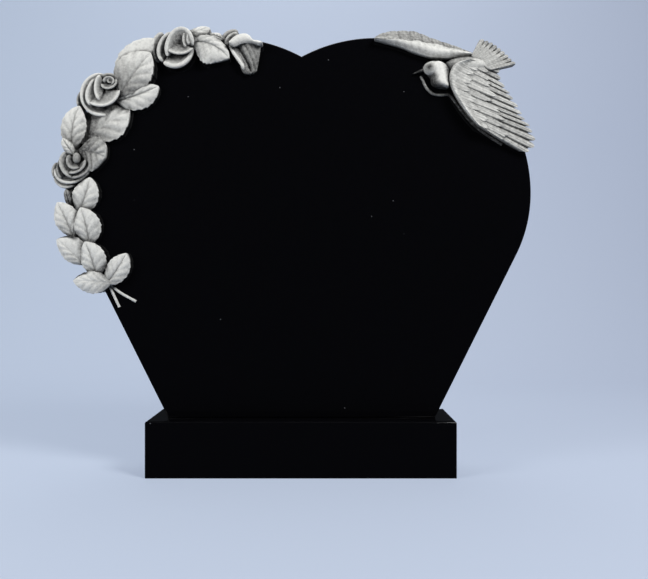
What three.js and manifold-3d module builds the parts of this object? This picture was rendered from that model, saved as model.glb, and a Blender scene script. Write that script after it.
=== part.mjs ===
// A heart-shaped granite headstone: a polished stele with a rose garland and a dove carved on its edge,
// standing on a plain plinth. Millimetres, +Z up, the polished front faces -Y and +X is to the viewer's
// right. The origin is the middle of the plinth's underside.
import * as THREE from "three";
import { mergeVertices } from "three/addons/utils/BufferGeometryUtils.js";
import Module from "manifold-3d";

const wasm = await Module();
wasm.setup();

// Driving dimensions
const PLINTH = { width: 800, depth: 200, height: 145, arris: 4 };
const STELE = {
  halfWidth: 608,
  height: 1007,
  thickness: 80,
  lobeRadius: 412, // the two round lobes
  flankRadius: 366, // where a lobe turns into its straight flank
  flankLean: Math.atan(0.5), // the flank's angle from the vertical
  arris: 4,
  arcSteps: 8,
};
const FRONT = -STELE.thickness / 2; // the polished face's Y
const UNDERCUT = 50; // how far the carving reaches behind the polished face
const LOBE = {
  x: STELE.halfWidth - STELE.lobeRadius,
  z: PLINTH.height + STELE.height - STELE.lobeRadius,
};

// Leaves of the garland, from the crown of the stele down to the cut stems. A leaf runs from base to tip
// in the stele's plane [x, z]. left and right are its half-widths seen along that way, bow bends its
// midrib to the left, and rise is how far base and tip stand in front of the polished face.
const LEAVES = [
  { base: [-290, 1136], tip: [-190, 1093], left: 24, right: 50, bow: 13, rise: [16, 14] },
  { base: [-314, 1150], tip: [-242, 1176], left: 13, right: 24, bow: 0, rise: [8, 8] },
  { base: [-204, 1144], tip: [-242, 1161], left: 13, right: 11, bow: 0, rise: [8, 4] },
  { base: [-484, 1016], tip: [-386, 1148], left: 46, right: 34, bow: 6, rise: [6, 10] },
  { base: [-478, 992], tip: [-392, 1114], left: 46, right: 46, bow: 0, rise: [16, 18] },
  { base: [-486, 980], tip: [-376, 1020], left: 26, right: 40, bow: -4, rise: [10, 12] },
  { base: [-600, 850], tip: [-578, 970], left: 35, right: 34, bow: 2, rise: [18, 10] },
  { base: [-574, 876], tip: [-446, 954], left: 30, right: 54, bow: 8, rise: [8, 12] },
  { base: [-588, 850], tip: [-516, 833], left: 46, right: 50, bow: 4, rise: [18, 12] },
  { base: [-581, 688], tip: [-552, 780], left: 36, right: 36, bow: -4, rise: [6, 14] },
  { base: [-608, 630], tip: [-646, 724], left: 29, right: 31, bow: -5, rise: [6, 13] },
  { base: [-559, 604], tip: [-588, 708], left: 32, right: 34, bow: -5, rise: [7, 18] },
  { base: [-576, 550], tip: [-645, 632], left: 30, right: 33, bow: -6, rise: [7, 16] },
  { base: [-538, 520], tip: [-574, 620], left: 33, right: 34, bow: -5, rise: [8, 20] },
  { base: [-500, 502], tip: [-598, 507], left: 28, right: 29, bow: -3, rise: [14, 20] },
  { base: [-514, 502], tip: [-468, 586], left: 28, right: 31, bow: -4, rise: [12, 16] },
  { base: [-612, 706], tip: [-622, 750], left: 10, right: 10, bow: 0, rise: [2, 6] },
];
const LEAF = { rows: 6, columns: 4, crown: 10, widest: 0.46, fullness: 0.62, ribNarrowness: 0.7 };

// Roses: the heart points along lean, an angle in the stele's plane, and tilts that far off the face.
const ROSES = [
  { centre: [-340, 1120], radius: 70, lean: 38, tilt: 40, turn: 20 },
  { centre: [-532, 996], radius: 68, lean: 50, tilt: 42, turn: 150 },
  { centre: [-606, 801], radius: 60, lean: 58, tilt: 38, turn: 265 },
];
const ROSE = {
  rise: 12, // where the petals' origin stands in front of the face
  blockRise: 10,
  heart: [[0, 0], [0.2, 0], [0.24, 0.45], [0.16, 0.82], [0, 0.92]], // turned profile, in rose radii
  heartSides: 8,
};
const PETALS = {
  count: 10,
  goldenTurn: 137.5, // degrees from one petal to the next
  reach: [0.3, 0.98], // innermost and outermost rim, in rose radii
  rise: [0.86, 0.2],
  spread: [95, 52], // half of the arc that a petal wraps, in degrees
  openness: [88, 62], // how far its profile has turned up at the rim, in degrees
  droop: 0.22, // how far the rim falls towards its sides
  foot: -0.35,
  waist: 0.12,
  thickness: 6,
  across: 4,
  up: 3,
};
// The half-open bud that ends the garland: petals stand round an axis from its foot to its mouth.
const BUD = {
  foot: [-134, 1062],
  mouth: [-158, 1152],
  radius: 47,
  tilt: 66,
  turn: 40,
  angles: [0, 120, 240],
  seat: 0.32, // how far along from foot to mouth the petals spring
  rise: 8,
  blockRise: 4,
  knob: [[0, -0.32], [0.1, -0.3], [0.24, 0], [0.3, 0.3], [0.2, 0.55], [0, 0.62]], // in bud lengths
  knobSides: 10,
  petal: { reach: 0.88, rise: 1.3, spread: 66, openness: 70, droop: 0.3 },
};
const FLATTEN = 0.72; // the flowers' depth against their true depth, as in any relief
const BLOCK = { foot: 0.62, rim: 0.7, top: 0.6, sides: 12 }; // the stone behind a flower, in its radii

// The bed of stone that carries the garland beyond the lobe's edge.
const BED = { inner: 397, outer: 433, from: 104, to: 192, rise: -4, steps: 8 };

// Two cut stems and the fine contour under the dove's breast, as half-round beads.
const STEMS = [
  { route: [[-512, 502], [-482, 438]], radius: 4 },
  { route: [[-512, 502], [-479, 476], [-438, 453]], radius: 4 },
];
const BREAST_LINE = { route: [[309, 1053], [320, 1027], [340, 1006], [364, 1000], [396, 1003]], radius: 3 };
const BEAD = { sides: 6, steps: 3, sunk: 1 };

// The dove: rounded masses for its trunk, and each wing a fan of quills between a curve of roots and a
// curve of tips, with the arm laid over the roots.
const DOVE = {
  body: { centre: [432, 1068], half: [82, 29, 28], heading: 6, rise: 4 },
  neck: { centre: [374, 1056], half: [38, 27, 24], heading: -12, rise: 6 },
  breast: { centre: [362, 1037], half: [25, 27, 26], heading: -60, rise: 6 },
  head: { centre: [341, 1067], half: [25, 22, 24], heading: 8, rise: 12 },
  beak: { from: [324, 1064], to: [290, 1056], radius: 8, rise: [14, 8] },
};
const NEAR_WING = {
  roots: [[440, 1082], [412, 1019], [474, 914]],
  tips: [[514, 1068], [530, 1016], [552, 985], [574, 948], [606, 903], [612, 872], [583, 840]],
  quills: 12,
  halfWidth: 13,
  bow: -3,
  rise: [22, 10],
  roll: 4,
};
const NEAR_COVERTS = {
  roots: [[424, 1086], [402, 1019], [462, 922]],
  tips: [[488, 1070], [490, 1014], [499, 976], [524, 931], [545, 891]],
  quills: 7,
  halfWidth: 16,
  bow: -3,
  rise: [32, 20],
  roll: 3,
};
const FAR_WING = {
  roots: [[458, 1088], [392, 1099], [304, 1112]],
  tips: [[440, 1114], [390, 1138], [326, 1160], [258, 1167], [212, 1163], [186, 1147]],
  quills: 9,
  halfWidth: 15,
  bow: 0,
  rise: [16, 9],
  roll: -3,
};
const TAIL = {
  roots: [[466, 1088], [470, 1083], [473, 1078]],
  tips: [[466, 1148], [523, 1128], [565, 1087]],
  quills: 8,
  halfWidth: 11,
  bow: 0,
  rise: [22, 14],
  roll: 3,
};
const NEAR_ARM = {
  route: [[418, 1084], [400, 1048], [411, 1003], [450, 949], [510, 899], [585, 842]],
  halfWidth: 17,
  rise: [28, 12],
};
const FAR_ARM = {
  route: [[456, 1088], [384, 1097], [320, 1104], [256, 1124], [200, 1146]],
  halfWidth: 13,
  rise: [22, 10],
};
const ARM = { rows: 8, columns: 4, crown: 9 };
const QUILL = { rows: 3, columns: 2, crown: 4, roundEnd: 0.28, blunt: 0.8 };
const ROUND = { around: 12, along: 7 };

// Small helpers
const mix = (a, b, t) => a + (b - a) * t;
const radians = THREE.MathUtils.degToRad;
const plan = ([x, z]) => new THREE.Vector2(x, z);
const scaled = (profile, size) => profile.map((pair) => pair.map((n) => n * size));
// A point of the carving: a place in the stele's plane, and how far it stands in front of the face.
const carved = (place, rise) => new THREE.Vector3(place.x, FRONT - rise, place.y);

// A geometry as a solid, with its shared corners merged and its pinched triangles dropped.
function solid(geometry) {
  const bare = new THREE.BufferGeometry().setAttribute("position", geometry.getAttribute("position"));
  const corners = geometry.index ? Array.from(geometry.index.array) : null;
  if (corners) bare.setIndex(corners);
  const merged = mergeVertices(bare, 1e-3);
  const kept = [];
  for (let i = 0; i < merged.index.count; i += 3) {
    const [a, b, c] = [0, 1, 2].map((k) => merged.index.getX(i + k));
    if (a !== b && b !== c && c !== a) kept.push(a, b, c);
  }
  const make = (triangles) =>
    new wasm.Manifold(
      new wasm.Mesh({
        numProp: 3,
        vertProperties: new Float32Array(merged.attributes.position.array),
        triVerts: new Uint32Array(triangles),
      }),
    );
  const made = make(kept);
  return made.volume() < 0 ? make(kept.reverse()) : made;
}

// The outside of a joined solid as a geometry: pockets that the joining sealed inside are filled.
function geometryOf(made) {
  const [outside] = made.decompose().sort((a, b) => b.volume() - a.volume());
  const mesh = outside.getMesh();
  return new THREE.BufferGeometry()
    .setAttribute("position", new THREE.BufferAttribute(mesh.vertProperties, 3))
    .setIndex(new THREE.BufferAttribute(mesh.triVerts, 1));
}

// A closed solid between two surfaces over one grid: face(u, v) shows and back(u, v) closes it.
function between(face, back, rows, columns) {
  const points = [];
  for (const surface of [face, back])
    for (let i = 0; i <= rows; i++)
      for (let j = 0; j <= columns; j++) points.push(surface(i / rows, j / columns));
  const layer = (rows + 1) * (columns + 1);
  const at = (i, j, side) => side * layer + i * (columns + 1) + j;
  const index = [];
  const quad = (a, b, c, d) => index.push(a, b, c, a, c, d);
  for (let i = 0; i < rows; i++) {
    for (let j = 0; j < columns; j++) {
      quad(at(i, j, 0), at(i, j + 1, 0), at(i + 1, j + 1, 0), at(i + 1, j, 0));
      quad(at(i, j, 1), at(i + 1, j, 1), at(i + 1, j + 1, 1), at(i, j + 1, 1));
    }
    quad(at(i, 0, 0), at(i + 1, 0, 0), at(i + 1, 0, 1), at(i, 0, 1));
    quad(at(i + 1, columns, 0), at(i, columns, 0), at(i, columns, 1), at(i + 1, columns, 1));
  }
  for (let j = 0; j < columns; j++) {
    quad(at(0, j + 1, 0), at(0, j, 0), at(0, j, 1), at(0, j + 1, 1));
    quad(at(rows, j, 0), at(rows, j + 1, 0), at(rows, j + 1, 1), at(rows, j, 1));
  }
  return new THREE.BufferGeometry().setFromPoints(points).setIndex(index);
}

// A blade in the stele's plane: outline(u) gives its half-width along the midrib, its carved face follows
// relief(u, v) above the line from base to tip, and straight sides go down to the undercut.
function blade(midrib, { left, right, rise }, outline, relief, { rows, columns }) {
  const crowded = (i) => (1 - Math.cos(Math.PI * i)) / 2; // rows stand closer towards both ends
  const layer = (height) => (i, j) => {
    const [u, v] = [crowded(i), 2 * j - 1];
    const way = midrib.getTangent(u);
    const side = new THREE.Vector2(-way.y, way.x).multiplyScalar((v > 0 ? left : right) * v * outline(u));
    return carved(midrib.getPoint(u).add(side), height(u, v));
  };
  const face = layer((u, v) => mix(...rise, u) + relief(u, v));
  return solid(between(face, layer(() => -UNDERCUT), rows, columns));
}

// The line from base to tip, bent to the left by bow at its middle.
function bowed(base, tip, bow) {
  const [from, to] = [plan(base), plan(tip)];
  const way = to.clone().sub(from).normalize();
  const middle = from.clone().add(to).multiplyScalar(0.5);
  middle.addScaledVector(new THREE.Vector2(-way.y, way.x), 2 * bow);
  return new THREE.QuadraticBezierCurve(from, middle, to);
}

// A rose leaf: ovate, each half puffed between a sunken midrib and the rim.
function leaf(spec) {
  const skew = Math.log(0.5) / Math.log(LEAF.widest);
  const outline = (u) => Math.sin(Math.PI * u ** skew) ** LEAF.fullness;
  const relief = (u, v) => LEAF.crown * Math.sin(Math.PI * Math.abs(v) ** LEAF.ribNarrowness) * outline(u);
  return blade(bowed(spec.base, spec.tip, spec.bow), spec, outline, relief, LEAF);
}

// A quill: even width with a round end, ridged along its shaft and rolled so that its edge shows.
function quill(base, tip, { halfWidth, bow, rise, roll }) {
  const rounded = (u) => Math.sqrt(1 - QUILL.blunt * Math.max(0, (u - 1) / QUILL.roundEnd + 1) ** 2);
  const outline = (u) => rounded(u) * mix(0.75, 1, Math.min(1, 2 * u));
  const relief = (u, v) => (QUILL.crown * (1 - v * v) + roll * v) * outline(u);
  return blade(bowed(base, tip, bow), { left: halfWidth, right: halfWidth, rise }, outline, relief, QUILL);
}

// A fan of quills from a curve of roots to a curve of tips.
function fan(spec) {
  const [roots, tips] = [spec.roots, spec.tips].map((points) => new THREE.SplineCurve(points.map(plan)));
  return Array.from({ length: spec.quills }, (_, i) => {
    const t = i / (spec.quills - 1);
    return quill(roots.getPointAt(t).toArray(), tips.getPointAt(t).toArray(), spec);
  });
}

// The arm along a wing's front edge: a rounded ridge that tapers at both ends.
function arm({ route, halfWidth, rise }) {
  const outline = (u) => Math.sqrt(Math.sin(Math.PI * u));
  const relief = (u, v) => ARM.crown * (1 - v * v) * outline(u);
  const midrib = new THREE.SplineCurve(route.map(plan));
  return blade(midrib, { left: halfWidth, right: halfWidth, rise }, outline, relief, ARM);
}

// The axis of a flower that leans that far in the stele's plane and tilts that far off the view.
function flowerFrame(lean, tilt) {
  const [swing, lift] = [radians(lean), radians(tilt)];
  const inPlane = new THREE.Vector3(Math.cos(swing), 0, Math.sin(swing));
  const axis = inPlane.clone().multiplyScalar(Math.sin(lift)).add(new THREE.Vector3(0, -Math.cos(lift), 0));
  const away = new THREE.Vector3(0, -Math.sin(lift), 0).addScaledVector(inPlane, -Math.cos(lift));
  return { axis, away, beside: new THREE.Vector3().crossVectors(axis, away) };
}

// A flower's geometry with its depth in front of the polished face drawn in.
function flattened(geometry) {
  return geometry.translate(0, -FRONT, 0).scale(1, FLATTEN, 1).translate(0, FRONT, 0);
}

// One cupped petal of a flower: its profile turns up from the foot to the rim, which falls to the sides.
function petal(origin, frame, radius, turn, { reach, rise, spread, openness, droop }) {
  const bend = radians(openness);
  const { foot, waist } = PETALS;
  const surface = (inset) => (across, up) => {
    const s = 2 * across - 1;
    const angle = turn + radians(spread) * s * mix(0.6, 1, up);
    const out = mix(waist, reach, Math.sin(up * bend) / Math.sin(bend));
    const top = rise - droop * Math.abs(s) ** 2.5;
    const high = mix(foot, top, (1 - Math.cos(up * bend)) / (1 - Math.cos(bend)));
    const r = radius * out - inset;
    return origin
      .clone()
      .addScaledVector(frame.away, r * Math.cos(angle))
      .addScaledVector(frame.beside, r * Math.sin(angle))
      .addScaledVector(frame.axis, radius * high);
  };
  return solid(flattened(between(surface(0), surface(PETALS.thickness), PETALS.across, PETALS.up)));
}

// A round block or knob turned about a flower's axis, from a profile of [radius, height] pairs.
function turned(origin, axis, profile, sides) {
  const geometry = new THREE.LatheGeometry(profile.map(([r, h]) => new THREE.Vector2(r, h)), sides);
  geometry.applyQuaternion(new THREE.Quaternion().setFromUnitVectors(new THREE.Vector3(0, 1, 0), axis));
  return geometry.translate(origin.x, origin.y, origin.z);
}

// A block of stone behind a flower, from the undercut to just in front of the face.
function flowerBlock(centre, radius, rise) {
  const [foot, rim, top] = [BLOCK.foot, BLOCK.rim, BLOCK.top].map((n) => n * radius);
  const profile = [[0, -UNDERCUT], [foot, -UNDERCUT], [rim, 0], [top, rise], [0, rise]];
  return solid(turned(carved(centre, 0), new THREE.Vector3(0, -1, 0), profile, BLOCK.sides));
}

// A full rose: petals set round the heart by the golden angle, opening towards the outside.
function rose({ centre, radius, lean, tilt, turn }) {
  const frame = flowerFrame(lean, tilt);
  const origin = carved(plan(centre), ROSE.rise);
  const heart = turned(origin, frame.axis, scaled(ROSE.heart, radius), ROSE.heartSides);
  const petals = Array.from({ length: PETALS.count }, (_, i) => {
    const t = i / (PETALS.count - 1);
    const shape = {
      reach: mix(...PETALS.reach, t),
      rise: mix(...PETALS.rise, t),
      spread: mix(...PETALS.spread, t),
      openness: mix(...PETALS.openness, t),
      droop: PETALS.droop,
    };
    return petal(origin, frame, radius, radians(turn + i * PETALS.goldenTurn), shape);
  });
  return [flowerBlock(plan(centre), radius, ROSE.blockRise), solid(flattened(heart)), ...petals];
}

// The half-open bud: a tapering knob with petals that turn out at the mouth.
function bud({ foot, mouth, radius, tilt, turn, angles, petal: shape }) {
  const way = plan(mouth).sub(plan(foot));
  const frame = flowerFrame(THREE.MathUtils.radToDeg(way.angle()), tilt);
  const origin = carved(plan(foot).addScaledVector(way, BUD.seat), BUD.rise);
  const knob = turned(origin, frame.axis, scaled(BUD.knob, way.length()), BUD.knobSides);
  const petals = angles.map((angle) => petal(origin, frame, radius, radians(turn + angle), shape));
  const middle = plan(foot).addScaledVector(way, 2 * BUD.seat);
  return [flowerBlock(middle, BLOCK.rim * radius, BUD.blockRise), solid(flattened(knob)), ...petals];
}

// The ring of stone behind the garland.
function bed() {
  const shape = new THREE.Shape();
  shape.absarc(-LOBE.x, LOBE.z, BED.outer, radians(BED.from), radians(BED.to), false);
  shape.absarc(-LOBE.x, LOBE.z, BED.inner, radians(BED.to), radians(BED.from), true);
  const options = { depth: UNDERCUT + BED.rise, bevelEnabled: false, curveSegments: BED.steps };
  const geometry = new THREE.ExtrudeGeometry(shape, options).rotateX(Math.PI / 2);
  return solid(geometry.translate(0, FRONT + UNDERCUT, 0));
}

// A bead half sunk in the polished face along a route.
function bead({ route, radius }) {
  const points = route.map((p) => carved(plan(p), BEAD.sunk));
  const circle = new THREE.Shape(
    Array.from({ length: BEAD.sides }, (_, i) => {
      const angle = (2 * Math.PI * i) / BEAD.sides;
      return new THREE.Vector2(radius * Math.cos(angle), radius * Math.sin(angle));
    }),
  );
  const extrudePath = new THREE.CatmullRomCurve3(points);
  const steps = BEAD.steps * (points.length - 1);
  return solid(new THREE.ExtrudeGeometry(circle, { steps, extrudePath, bevelEnabled: false }));
}

// A rounded mass of the dove: half sizes along its heading, across it and out of the face.
function round({ centre, half: [along, across, out], heading, rise }) {
  const geometry = new THREE.SphereGeometry(1, ROUND.around, ROUND.along);
  geometry.scale(along, out, across).rotateY(-radians(heading));
  return solid(geometry.translate(centre[0], FRONT - rise, centre[1]));
}

function beak({ from, to, radius, rise }) {
  const [root, point] = [carved(plan(from), rise[0]), carved(plan(to), rise[1])];
  const way = point.clone().sub(root);
  const length = way.length();
  const waist = [0.6 * radius, 0.45 * length];
  return solid(turned(root, way.normalize(), [[0, 0], [radius, 0], waist, [0, length]], BEAD.sides));
}

function dove() {
  const wings = [NEAR_WING, NEAR_COVERTS, FAR_WING, TAIL].flatMap(fan);
  const arms = [NEAR_ARM, FAR_ARM].map(arm);
  const masses = [DOVE.body, DOVE.neck, DOVE.breast, DOVE.head].map(round);
  return [...wings, ...arms, ...masses, beak(DOVE.beak), bead(BREAST_LINE)];
}

// The heart: a foot, two straight flanks, two rounded flanks and two lobes that meet in the notch.
function heartOutline() {
  const { halfWidth, flankRadius, flankLean, lobeRadius } = STELE;
  const flankX = halfWidth - flankRadius;
  const turnIn = [flankX + flankRadius * Math.cos(flankLean), LOBE.z - flankRadius * Math.sin(flankLean)];
  const footHalf = turnIn[0] - Math.tan(flankLean) * (turnIn[1] - PLINTH.height);
  const notch = Math.acos(-LOBE.x / lobeRadius);
  const shape = new THREE.Shape();
  shape.moveTo(-footHalf, PLINTH.height);
  shape.lineTo(footHalf, PLINTH.height);
  shape.absarc(flankX, LOBE.z, flankRadius, -flankLean, 0, false);
  shape.absarc(LOBE.x, LOBE.z, lobeRadius, 0, notch, false);
  shape.absarc(-LOBE.x, LOBE.z, lobeRadius, Math.PI - notch, Math.PI, false);
  shape.absarc(-flankX, LOBE.z, flankRadius, Math.PI, Math.PI + flankLean, false);
  return shape;
}

// An outline raised to a height with every edge taken off by a small arris.
function arrised(shape, height, arris, curveSegments) {
  return new THREE.ExtrudeGeometry(shape, {
    depth: height - 2 * arris,
    bevelThickness: arris,
    bevelSize: arris,
    bevelOffset: -arris,
    bevelSegments: 1,
    curveSegments,
  }).translate(0, 0, arris);
}

function steleGeometry() {
  const slab = arrised(heartOutline(), STELE.thickness, STELE.arris, STELE.arcSteps).rotateX(Math.PI / 2);
  const garland = [bed(), ...LEAVES.map(leaf), ...ROSES.flatMap(rose), ...bud(BUD), ...STEMS.map(bead)];
  const carving = [...garland, ...dove()].reduce((joined, piece) => joined.add(piece));
  return geometryOf(solid(slab.translate(0, -FRONT, 0)).add(carving));
}

function plinthGeometry() {
  const [x, y] = [PLINTH.width / 2, PLINTH.depth / 2];
  const corners = [[-x, -y], [x, -y], [x, y], [-x, y]].map((c) => new THREE.Vector2(...c));
  return arrised(new THREE.Shape(corners), PLINTH.height, PLINTH.arris, 1);
}

function part(name, geometry, material) {
  const mesh = new THREE.Mesh(geometry, new THREE.MeshStandardMaterial(material));
  mesh.name = name;
  return mesh;
}

const polishedGranite = { color: 0x08080a, roughness: 0.12, metalness: 0 };
const headstone = new THREE.Group();
headstone.add(part("plinth", plinthGeometry(), polishedGranite));
headstone.add(part("stele", steleGeometry(), polishedGranite));

export default headstone;
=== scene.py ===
# Heart headstone in black granite: polished slab and plinth, a rose garland and a dove carved on its edge.
import math

import bmesh
import bpy
import numpy as np
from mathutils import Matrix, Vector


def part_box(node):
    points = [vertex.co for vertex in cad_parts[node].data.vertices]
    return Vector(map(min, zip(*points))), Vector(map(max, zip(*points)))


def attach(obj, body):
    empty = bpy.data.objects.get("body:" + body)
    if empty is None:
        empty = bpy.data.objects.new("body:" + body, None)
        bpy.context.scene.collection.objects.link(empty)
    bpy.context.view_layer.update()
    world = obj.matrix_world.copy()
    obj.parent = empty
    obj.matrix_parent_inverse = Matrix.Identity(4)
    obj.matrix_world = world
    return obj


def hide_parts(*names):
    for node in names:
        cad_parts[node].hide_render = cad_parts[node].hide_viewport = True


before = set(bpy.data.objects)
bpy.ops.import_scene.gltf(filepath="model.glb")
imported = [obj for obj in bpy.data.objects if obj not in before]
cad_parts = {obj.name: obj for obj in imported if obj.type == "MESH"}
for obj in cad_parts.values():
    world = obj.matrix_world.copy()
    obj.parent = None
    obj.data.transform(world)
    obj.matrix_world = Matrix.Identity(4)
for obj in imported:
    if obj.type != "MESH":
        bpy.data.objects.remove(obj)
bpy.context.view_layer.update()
plinthLow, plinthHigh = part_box("plinth")
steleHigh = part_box("stele")[1]
mm = 0.001  # the carving's lists are in millimetres, in the stele's plane [x, z]

slab = dict(thickness=0.080, halfWidth=0.608, height=1.007, lobeRadius=0.412, flankRadius=0.366,
            flankLean=math.atan(0.5), arris=0.004, arcStep=math.radians(1.2), flankSteps=24, middleDrop=0.1)
footZ = plinthHigh.z
frontY = steleHigh.y - slab["thickness"]  # the polished face
lobeX = slab["halfWidth"] - slab["lobeRadius"]
lobeZ = footZ + slab["height"] - slab["lobeRadius"]
undercut = 50.0  # how far the carving reaches behind the polished face
backStep = 0.15  # how far apart the flat backs stand, one after the other
backMargin = 0.5  # what lies this close to the undercut is a flat back
weldReach = 1e-6
poleGap = 0.05  # a round mass stops this angle short of its poles
rng = np.random.default_rng(7)


def mix(a, b, t):
    return a + (b - a) * t


def smooth(t):
    t = np.clip(t, 0, 1)
    return t * t * (3 - 2 * t)


# rows that stand closer together towards both ends: half a cosine wave from 0 to 1
def crowded(count):
    return (1 - np.cos(np.pi * np.linspace(0, 1, count))) / 2


# places in the plane and heights in front of the face, both in millimetres, become points in metres
def carved(place, rise):
    y = frontY - np.asarray(rise) * mm
    return np.stack([place[..., 0] * mm, np.broadcast_to(y, place.shape[:-1]), place[..., 1] * mm], -1)


# rings of points, one row each, closed round; both end rows are drawn together into a pole. A painted shade
# from 0, pale, to 1, dark, goes with every point
def closedShell(rings, shade=0.0):
    poles = [np.broadcast_to(ring.mean(0), ring.shape)[None] for ring in (rings[0], rings[-1])]
    shade = np.broadcast_to(shade, rings.shape[:2])
    shade = np.concatenate([shade[:1], shade, shade[-1:]]).ravel()
    rings = np.concatenate([poles[0], rings, poles[1]])
    rows, around = rings.shape[:2]
    index = np.arange(rows * around).reshape(rows, around)
    here, there = index[:-1], index[1:]
    quads = np.stack([here, np.roll(here, -1, 1), np.roll(there, -1, 1), there], -1).reshape(-1, 4)
    points = rings.reshape(-1, 3)
    a, b, c, d = (points[quads[:, k]] for k in range(4))
    volume = (a * (np.cross(b, c) + np.cross(c, d))).sum()
    return points, quads if volume > 0 else quads[:, ::-1], shade


# shells become one mesh object at the origin; values are named numbers at each point
def makePiece(name, shells, material, values=None, sharpAngle=38):
    points = np.concatenate([shell[0] for shell in shells])
    starts = np.cumsum([0] + [len(shell[0]) for shell in shells[:-1]])
    quads = np.concatenate([shell[1] + start for shell, start in zip(shells, starts)])
    mesh = bpy.data.meshes.new(name)
    mesh.vertices.add(len(points))
    mesh.vertices.foreach_set("co", points.astype(np.float32).ravel())
    mesh.loops.add(quads.size)
    mesh.loops.foreach_set("vertex_index", quads.astype(np.int32).ravel())
    mesh.polygons.add(len(quads))
    mesh.polygons.foreach_set("loop_start", np.arange(0, quads.size, 4, dtype=np.int32))
    mesh.update(calc_edges=True)
    for key, value in (values or {}).items():
        mesh.attributes.new(key, "FLOAT", "POINT").data.foreach_set("value", value.astype(np.float32))
    welded = bmesh.new()
    welded.from_mesh(mesh)
    bmesh.ops.remove_doubles(welded, verts=welded.verts, dist=weldReach)
    welded.to_mesh(mesh)
    welded.free()
    mesh.polygons.foreach_set("use_smooth", np.ones(len(mesh.polygons), bool))
    mesh.set_sharp_from_angle(angle=math.radians(sharpAngle))
    mesh.materials.append(material)
    piece = bpy.data.objects.new(name, mesh)
    bpy.context.scene.collection.objects.link(piece)
    print(name, len(mesh.vertices), "points", len(quads) * 2, "triangles")
    return piece


# Curves in the plane: each gives points and unit tangents at u, from 0 to 1

# a parabola from base to tip, bent to the left by bow at its middle
def bowedLine(base, tip, bow, u):
    base, tip = np.array(base, float), np.array(tip, float)
    way = (tip - base) / np.linalg.norm(tip - base)
    left = np.array([-way[1], way[0]])
    u = u[:, None]
    points = mix(base, tip, u) + left * bow * 4 * u * (1 - u)
    tangents = (tip - base) + left * bow * 4 * (1 - 2 * u)
    return points, tangents / np.linalg.norm(tangents, axis=1, keepdims=True)


# a Catmull-Rom curve through the given points, walked at even speed; tangents are taken between points a
# short step ahead and behind
splineForm = dict(fine=400, step=0.01)


def splineLine(through, u):
    knots = np.array(through, float)
    padded = np.concatenate([knots[:1], knots, knots[-1:]])
    fine = np.linspace(0, len(knots) - 1, splineForm["fine"])
    first = np.minimum(fine.astype(int), len(knots) - 2)
    t = (fine - first)[:, None]
    p0, p1, p2, p3 = (padded[first + k] for k in range(4))
    line = p1 + t * ((p2 - p0) + t * (2 * p0 - 5 * p1 + 4 * p2 - p3 + t * (3 * (p1 - p2) + p3 - p0))) / 2
    walked = np.concatenate([[0], np.cumsum(np.linalg.norm(np.diff(line, axis=0), axis=1))])

    def at(share):
        return np.stack([np.interp(share * walked[-1], walked, line[:, k]) for k in range(line.shape[1])], -1)

    step = splineForm["step"]
    tangents = at(np.minimum(u + step, 1)) - at(np.maximum(u - step, 0))
    return at(u), tangents / np.linalg.norm(tangents, axis=1, keepdims=True)


# A carved sheet: a grid of places with their heights in front of the face. Its two long edges roll over and
# are tucked in on the way down to the undercut, and the back is flat
sheetEdge = dict(drop=2.5, tuck=0.08, tuckDepth=11, thinEnd=16, thinReach=0.16)


def sheetShell(place, height, shade=0.0, thinEnds=False):
    e = sheetEdge
    middle = place[:, [place.shape[1] // 2]]
    along = np.linspace(0, 1, len(place))[:, None]
    whole = smooth(np.minimum(along, 1 - along) / e["thinReach"]) if thinEnds else 1.0
    walls, depths = [], []
    for column in (-1, 0):
        edge, rim = place[:, [column]], height[:, [column]]
        tucked = mix(edge, middle, e["tuck"])
        walls.append(np.concatenate([edge, tucked, tucked], 1))
        back = mix(rim - e["thinEnd"], -undercut, whole)
        depths.append(np.concatenate([rim - e["drop"], rim - e["tuckDepth"], back], 1))
    across = np.concatenate([place, walls[0], walls[1][:, ::-1]], 1)
    deep = np.concatenate([height, depths[0], depths[1][:, ::-1]], 1)
    shade = np.broadcast_to(shade, height.shape)
    shade = np.concatenate([shade, np.repeat(shade[:, -1:], 3, 1), np.repeat(shade[:, :1], 3, 1)], 1)
    return closedShell(carved(across, deep), shade)


# a sheet over a midrib: v goes from the right edge, -1, to the left edge, 1
def bladeShell(line, halves, rise, outline, relief, v, teeth=1.0, shade=0.0):
    middle, tangent = line
    left, right = halves
    side = np.stack([-tangent[:, 1], tangent[:, 0]], -1)
    low = mix(rise[0], rise[1], np.linspace(0, 1, len(middle)))[:, None]
    across = np.where(v > 0, left, right) * v * outline[:, None] * teeth
    return sheetShell(middle[:, None] + side[:, None] * across[..., None], low + relief, shade)


# a sheet between two curves, rounded up between them
def bandShell(band, rows=40, columns=15):
    t = np.linspace(0, 1, rows)
    k = np.linspace(0, 1, columns)[None]
    lower, upper = (splineLine(band[key], t)[0][:, None] for key in ("lower", "upper"))
    height = band["rise"] + band["crown"] * (1 - (2 * k - 1) ** 2) + 0 * t[:, None]
    return sheetShell(mix(lower, upper, k[..., None]), height)
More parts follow.
